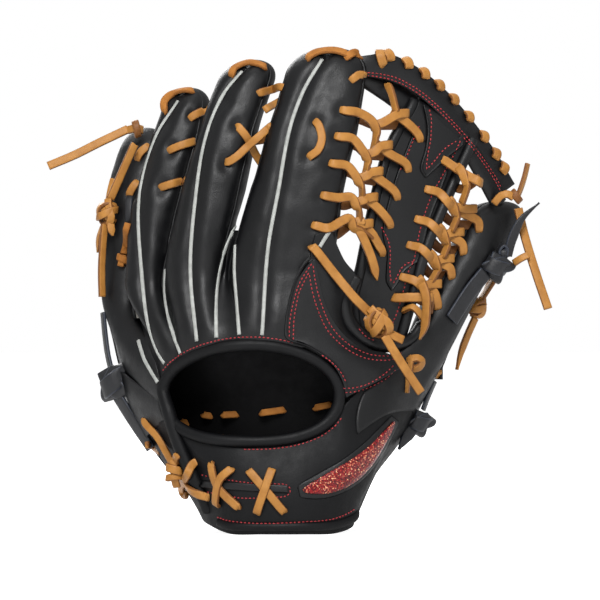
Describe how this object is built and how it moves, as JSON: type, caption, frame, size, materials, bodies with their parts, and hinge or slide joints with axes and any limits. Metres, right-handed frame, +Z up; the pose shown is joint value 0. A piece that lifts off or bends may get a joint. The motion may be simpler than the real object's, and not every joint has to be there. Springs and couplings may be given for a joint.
{
  "type": "baseball fielding glove",
  "caption": "Left-hand outfielder's leather glove with a laced T-shaped web, standing on its heel, fingers up; the thumb side folds about the pocket.",
  "frame": {"origin": "middle of the wrist band's lower edge, on the floor", "axes": "+X to the thumb side seen from behind, +Y from the back of the hand to the pocket, +Z up to the fingertips"},
  "size_m": [0.3225, 0.1396, 0.3037],
  "materials": {
    "shell": "smooth black steerhide with a soft sheen",
    "binding": "folded black leather roll",
    "welting": "light grey leather strip",
    "lace": "tan rawhide with a rough edge",
    "black_lace": "black rawhide",
    "felt": "pressed wool felt",
    "lining": "soft black lining leather",
    "fleece": "short black fleece",
    "patch": "red glitter"
  },
  "bodies": {
    "hand": {"palm_leather": "shell", "palm_felt_pad": "felt", "heel_pad_pinky": "felt", "heel_pad_thumb": "felt", "palm_lining": "lining", "index_stall": "shell", "middle_stall": "shell", "ring_stall": "shell", "pinky_stall": "shell", "index_felt": "felt", "middle_felt": "felt", "ring_felt": "felt", "pinky_felt": "felt", "index_welts": "welting", "middle_welts": "welting", "ring_welts": "welting", "pinky_welt": "welting", "wrist_band": "shell", "back_panel": "shell", "pinky_panel": "shell", "opening_binding": "binding", "wrist_fleece": "fleece", "wrist_patch": "patch", "web_panel": "shell", "web_panel_roll": "binding", "web_top_band": "shell", "web_cross_bars": "shell", "crotch_roll": "binding", "web_lace_index": "lace", "web_lace_thumb": "lace", "web_edge_lace": "lace", "fingertip_laces": "lace", "finger_laces": "lace", "wrist_lace": "lace", "pinky_strap": "black_lace", "pinky_strap_knot": "black_lace", "pinky_lace": "lace", "pinky_tip_tail": "lace", "pinky_tail": "lace", "crotch_lace": "lace", "crotch_tail": "lace", "heel_lace": "lace", "finger_gussets": "shell", "overlap_roll": "binding", "band_roll": "binding", "web_tongues": "shell"},
    "thumb": {"thumb_stall": "shell", "thumb_felt": "felt", "thumb_welt": "welting", "thumb_strap": "black_lace", "thumb_strap_knot": "black_lace", "thumb_strap_tail": "black_lace", "thumb_knot": "lace", "thumb_knot_tail": "lace", "thumb_tip_knot": "lace", "thumb_tip_tail": "lace"}
  },
  "joints": [
    {"name": "close", "type": "hinge", "parent": "hand", "child": "thumb", "pos_m": [0.03, 0.066, 0], "axis": [0.3592, 0.0156, 0.9331], "range_deg": [-8, 25], "stiffness_Nm_per_rad": 1.2, "deforming": ["palm_leather", "wrist_band", "web_top_band", "web_edge_lace", "web_cross_bars", "web_lace_thumb", "crotch_roll"]}
  ]
}
